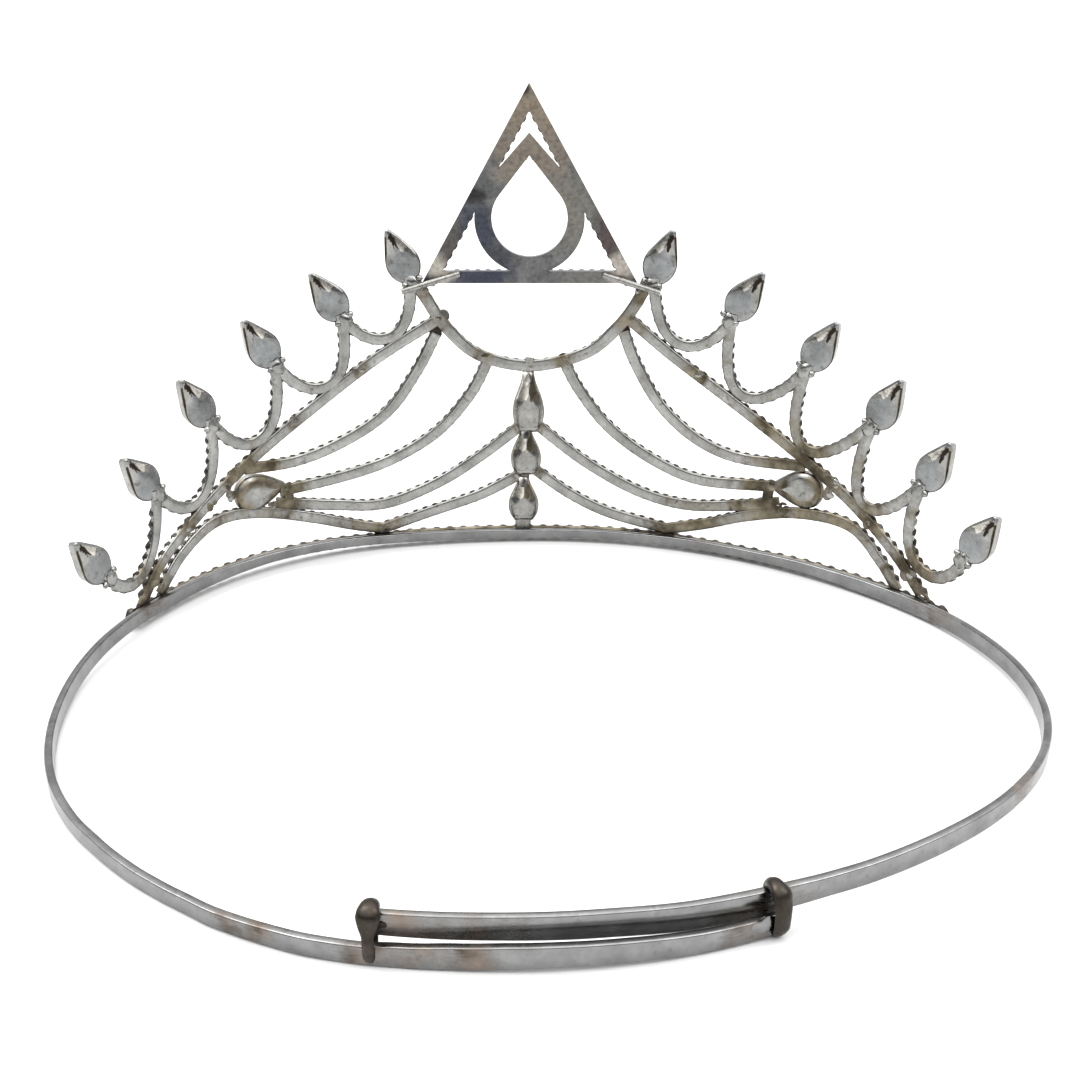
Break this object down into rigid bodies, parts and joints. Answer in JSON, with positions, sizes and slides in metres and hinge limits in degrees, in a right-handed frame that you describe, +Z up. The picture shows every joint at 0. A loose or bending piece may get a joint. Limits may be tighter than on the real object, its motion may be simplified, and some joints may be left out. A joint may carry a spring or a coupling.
{
  "type": "fraternal regalia crown",
  "caption": "Open metal crown: adjustable oval head band, curved openwork front with swags, pear-shaped cups and stones, and a tall flat triangular peak.",
  "frame": {"origin": "middle of the crown's box, on the plane that the band rests on", "axes": "+Z up, +Y to the front with the openwork, +X to the viewer's right when seen from behind"},
  "size_m": [0.1518, 0.1319, 0.0863],
  "materials": {
    "band_metal": "plated white metal, worn satin",
    "frame_metal": "plated white metal with tarnish at the solder",
    "plate_metal": "dark brushed",
    "clear_stone": "clear cut glass"
  },
  "bodies": {
    "root": {"band": "band_metal", "front_frame": "frame_metal", "peak_plate": "plate_metal", "stone_left_1": "clear_stone", "stone_left_2": "clear_stone", "stone_left_3": "clear_stone", "stone_left_4": "clear_stone", "stone_left_5": "clear_stone", "stone_left_6": "clear_stone", "stone_right_1": "clear_stone", "stone_right_2": "clear_stone", "stone_right_3": "clear_stone", "stone_right_4": "clear_stone", "stone_right_5": "clear_stone", "stone_right_6": "clear_stone", "stone_column_1": "clear_stone", "stone_column_2": "clear_stone", "stone_column_3": "clear_stone", "stone_knot_left": "clear_stone", "stone_knot_right": "clear_stone"}
  },
  "joints": []
}
